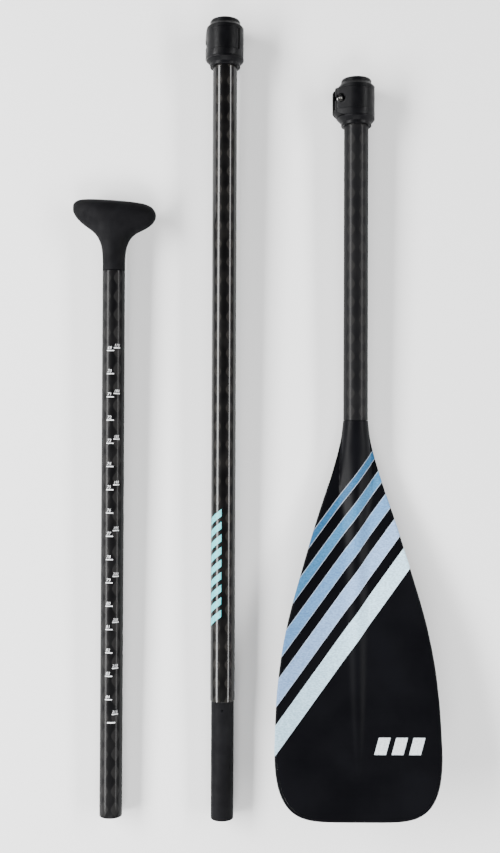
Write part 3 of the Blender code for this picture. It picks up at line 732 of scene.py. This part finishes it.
BACK_HEIGHTS = [(0.0, 0.0138), (0.04, 0.0141), (0.08, 0.0115), (0.13, 0.0070), (0.20, 0.0038),
                (0.26, EDGE_HALF)]
SPINES = [(0.0, 0.0138), (0.04, 0.0165), (0.08, 0.0180), (0.16, 0.0150), (0.24, 0.0125),
          (0.32, 0.0090), (0.39, 0.0030)]
EDGES = [(0.0, 0.0002), (0.03, 0.0010), (0.065, EDGE_HALF)]


def rake_height(s):
    """Rise of the blade over the shaft axis at the distance s down it: a bend, then a straight rake."""
    if s <= RAKE_START:
        return 0.0
    if s <= RAKE_FULL:
        return RAKE_SLOPE * (s - RAKE_START)**2 / (2 * (RAKE_FULL - RAKE_START))
    return RAKE_SLOPE * (s - 0.5 * (RAKE_START + RAKE_FULL))


def half_width(s, inset=0.0):
    """Half width of the blade at the distance s: a curve down the shoulders, then a squarish tip."""
    if s <= WIDEST_AT:
        return smooth_value(SHOULDERS, s) - inset
    share = min(1.0, (s - WIDEST_AT) / (BLADE_LENGTH - WIDEST_AT - inset))
    return (BLADE_HALF_WIDTH - inset) * (1 - share**TIP_ALONG)**(1 / TIP_ACROSS)


def face_height(s, x, heights):
    """Height of a face over the blade's middle sheet: round at the neck, then a spine that fades out."""
    edge = smooth_value(EDGES, s)
    share = min(1.0, abs(x) / smooth_value(SPINES, s))
    blend = min(1.0, max(0.0, (s - NECK_ROUND) / NECK_BLEND))
    bump = (1 - blend) * math.sqrt(max(0.0, 1 - share**2)) + blend * 0.5 * (1 + math.cos(math.pi * share))
    return edge + (smooth_value(heights, s) - edge) * bump


def blade_rows(first, last):
    """Distances of the mesh rows down the blade, closest together in the rounded tip."""
    rows = [first + (RAIL_START - LAYER_GAP - first) * i / NECK_ROWS for i in range(NECK_ROWS + 1)]
    rows += [RAIL_START + 0.0001 + (WIDEST_AT - RAIL_START) * i / SIDE_ROWS for i in range(SIDE_ROWS)]
    shares = [math.sin(0.5 * math.pi * i / TIP_ROWS) for i in range(TIP_ROWS)] + [0.9994, 0.99995]
    rows += [WIDEST_AT + (last - WIDEST_AT) * share for share in shares]
    return sorted(rows)


def blade_layer(name, node, first, upper, lower, material):
    """Closed sheet of the blade between two heights, each (heights, sign, depth below the face)."""
    rows = blade_rows(first, BLADE_LENGTH - RAIL_WIDTH)
    places = [k / HALF_COLUMNS for k in range(-HALF_COLUMNS, HALF_COLUMNS + 1)]
    shares = [0.55 * place**3 + 0.45 * place for place in places]
    work = bmesh.new()
    sheets = []
    for heights, sign, depth in (upper, lower):
        sheet = []
        for s in rows:
            rim = half_width(s, RAIL_WIDTH if s > RAIL_START else RIM_GAP)
            full = half_width(s)
            mixed = min(1.0, s / (NECK_BLEND + NECK_ROUND))
            line = []
            for share in shares:
                x = rim * (math.sin(0.5 * math.pi * share) * (1 - mixed) + share * mixed)
                near = x * full / max(full - depth, 1e-6) if s < RAIL_START else x
                near = max(-full, min(full, near))
                height = max(face_height(s, near, heights) - depth, RIM_GAP)
                line.append(work.verts.new((x, -s, rake_height(s) + sign * height)))
            sheet.append(line)
        sheets.append(sheet)
    top, bottom = sheets
    last_row, last_column = len(rows) - 1, len(shares) - 1
    for sheet in sheets:
        for i in range(last_row):
            for j in range(last_column):
                work.faces.new((sheet[i][j], sheet[i][j + 1], sheet[i + 1][j + 1], sheet[i + 1][j]))
    for i in range(last_row):
        for j in (0, last_column):
            work.faces.new((top[i][j], top[i + 1][j], bottom[i + 1][j], bottom[i][j]))
    for j in range(last_column):
        for i in (0, last_row):
            work.faces.new((top[i][j], top[i][j + 1], bottom[i][j + 1], bottom[i][j]))
    piece = finish_mesh(name, work, BLADE, "blade_section", [node], angle=40)
    return dress(piece, material)


RAIL_OVERLAP = 0.0010
RAIL_SIDE_STEPS, RAIL_TIP_STEPS, RAIL_ROUND_STEPS = 60, 40, 8
RAIL_ROUND = 0.0016


def edge_rail():
    """Rail round the rim, swept along the outline with a rounded outer edge."""
    start = RAIL_START - RAIL_OVERLAP
    sides = [start + (WIDEST_AT - start) * i / RAIL_SIDE_STEPS for i in range(RAIL_SIDE_STEPS)]
    right = [(half_width(s), s) for s in sides]
    for i in range(RAIL_TIP_STEPS + 1):
        angle = 0.5 * math.pi * i / RAIL_TIP_STEPS
        across = BLADE_HALF_WIDTH * math.cos(angle)**(2 / TIP_ACROSS)
        down = (BLADE_LENGTH - WIDEST_AT) * math.sin(angle)**(2 / TIP_ALONG)
        right.append((across, WIDEST_AT + down))
    path = right + [(-x, s) for x, s in reversed(right[:-1])]
    section = [(RAIL_WIDTH, -EDGE_HALF), (RAIL_WIDTH, EDGE_HALF)]
    for i in range(RAIL_ROUND_STEPS + 1):
        angle = math.pi * i / RAIL_ROUND_STEPS
        section.append((RAIL_ROUND - RAIL_ROUND * math.sin(angle), EDGE_HALF * math.cos(angle)))
    work = bmesh.new()
    rings = []
    for i, (x, s) in enumerate(path):
        before, after = path[max(i - 1, 0)], path[min(i + 1, len(path) - 1)]
        direction = Vector((after[0] - before[0], after[1] - before[1])).normalized()
        inward = Vector((-direction.y, direction.x))
        rings.append([(x + inward.x * d, -(s + inward.y * d), rake_height(s + inward.y * d) + h)
                      for d, h in section])
    skin_rings(work, rings)
    piece = finish_mesh("blade_rim_rail", work, BLADE, "blade_section", ["blade_edge_rail"], angle=50)
    return dress(piece, STRIPED_LAMINATE)


CORNER_X, CORNER_S, CORNER_PITCH, CORNER_COUNT = 0.0165, 0.3560, 0.0185, 3
CORNER_WIDTH, CORNER_HEIGHT, CORNER_SLANT, CORNER_LIFT = 0.0125, 0.0175, 0.30, 0.00008


def corner_mark():
    """Three plain slanted bars near the tip, in place of a printed word."""
    work = bmesh.new()
    points, faces = flat_bar(CORNER_WIDTH, CORNER_HEIGHT, slant=CORNER_SLANT, columns=4)
    for i in range(CORNER_COUNT):
        made = []
        for along, up, z in points:
            x, s = CORNER_X + CORNER_PITCH * i + along, CORNER_S - up
            lift = face_height(s, x, FRONT_HEIGHTS) + CORNER_LIFT + z
            made.append(work.verts.new((x, -s, rake_height(s) + lift)))
        for face in faces:
            work.faces.new([made[k] for k in face])
    piece = finish_mesh("blade_mark_print", work, BLADE, "blade_section")
    return dress(piece, GREY_INK)


def blade_section():
    tube = rounded_tube("blade_tube_laminate", "blade_tube", BLADE, MAIN_RADIUS, MAIN_WALL,
                        "blade_section")
    dress(tube, BLADE_CARBON)
    under = SKIN + LAYER_GAP
    blade_layer("blade_front_laminate", "blade_front_skin", LAYER_GAP, (FRONT_HEIGHTS, 1, 0),
                (FRONT_HEIGHTS, 1, SKIN), STRIPED_LAMINATE)
    blade_layer("blade_back_laminate", "blade_back_skin", LAYER_GAP, (BACK_HEIGHTS, -1, SKIN),
                (BACK_HEIGHTS, -1, 0), PLAIN_LAMINATE)
    blade_layer("blade_foam_core", "blade_core", NECK_ROUND + LAYER_GAP, (FRONT_HEIGHTS, 1, under),
                (BACK_HEIGHTS, -1, under), CORE_FOAM)
    edge_rail()
    corner_mark()
    dress_node("blade_hosel", MATTE_CARBON)
    dress_node("blade_shaft_plug", WHITE_FOAM)


# ---------------------------------------------------------------- studio

def softbox(name, location, size, power):
    """Rectangular light aimed at the middle of the floor; the first side of its size lies level."""
    light = bpy.data.lights.new(name, "AREA")
    light.shape = "RECTANGLE"
    light.size, light.size_y = size
    light.energy = power
    lamp = bpy.data.objects.new(name, light)
    bpy.context.scene.collection.objects.link(lamp)
    lamp.location = location
    lamp.rotation_euler = (-lamp.location).to_track_quat("-Z", "Y").to_euler()


SKY_HEIGHTS = (0.05, 0.45)
SKY_LIGHTS = (0.5, 0.04)
FLOOR_SIZE = 30.0
FLOOR_GAP = 0.0005


def studio():
    """Pale floor, a sky that is bright at the horizon and dark overhead, and three soft boxes."""
    bpy.ops.mesh.primitive_plane_add(size=FLOOR_SIZE, location=(0, 0, cad_low.z - FLOOR_GAP))
    floor = bpy.context.object
    floor.name = "floor"
    paper = bpy.data.materials.new("studio_floor")
    paper.use_nodes = True
    shader = paper.node_tree.nodes["Principled BSDF"]
    shader.inputs["Base Color"].default_value = (0.90, 0.90, 0.90, 1.0)
    shader.inputs["Roughness"].default_value = 0.9
    floor.data.materials.append(paper)
    world = bpy.data.worlds.new("studio")
    bpy.context.scene.world = world
    world.use_nodes = True
    tree = world.node_tree
    split = tree.nodes.new("ShaderNodeSeparateXYZ")
    tree.links.new(tree.nodes.new("ShaderNodeTexCoord").outputs["Generated"], split.inputs[0])
    height = tree.nodes.new("ShaderNodeMapRange")
    for socket, number in zip(height.inputs, (0.0, *SKY_HEIGHTS, *SKY_LIGHTS)):
        socket.default_value = number
    tree.links.new(split.outputs[2], height.inputs[0])
    back = tree.nodes["Background"]
    back.inputs["Color"].default_value = (1.0, 1.0, 1.0, 1.0)
    tree.links.new(height.outputs[0], back.inputs["Strength"])
    softbox("left_strip", (-1.75, 0.0, 1.20), (2.6, 0.60), 165.0)
    softbox("right_strip", (1.75, 0.0, 1.20), (2.6, 0.40), 70.0)
    softbox("lower_fill", (0.0, -2.6, 2.4), (2.4, 1.2), 125.0)


CAMERA_LENS = 44.196
CAMERA_PLACE = (-0.0016, -0.0435, 1.1752)
CAMERA_TURN = (1.6595, 0.1277, 0.2225)


def camera():
    """Camera almost straight above the paddle, as far off as the tubes' foreshortening says."""
    data = bpy.data.cameras.new("camera")
    data.sensor_width = 36.0
    data.lens = CAMERA_LENS
    made = bpy.data.objects.new("camera", data)
    bpy.context.scene.collection.objects.link(made)
    made.location = CAMERA_PLACE
    made.rotation_euler = [math.radians(turn) for turn in CAMERA_TURN]
    bpy.context.scene.camera = made


handle_section()
middle_section()
blade_section()
clamp("mid_clamp", "middle_section", "mid_lever", "mid_bolt")
clamp("blade_clamp", "blade_section", "blade_lever", "blade_bolt")
studio()
camera()
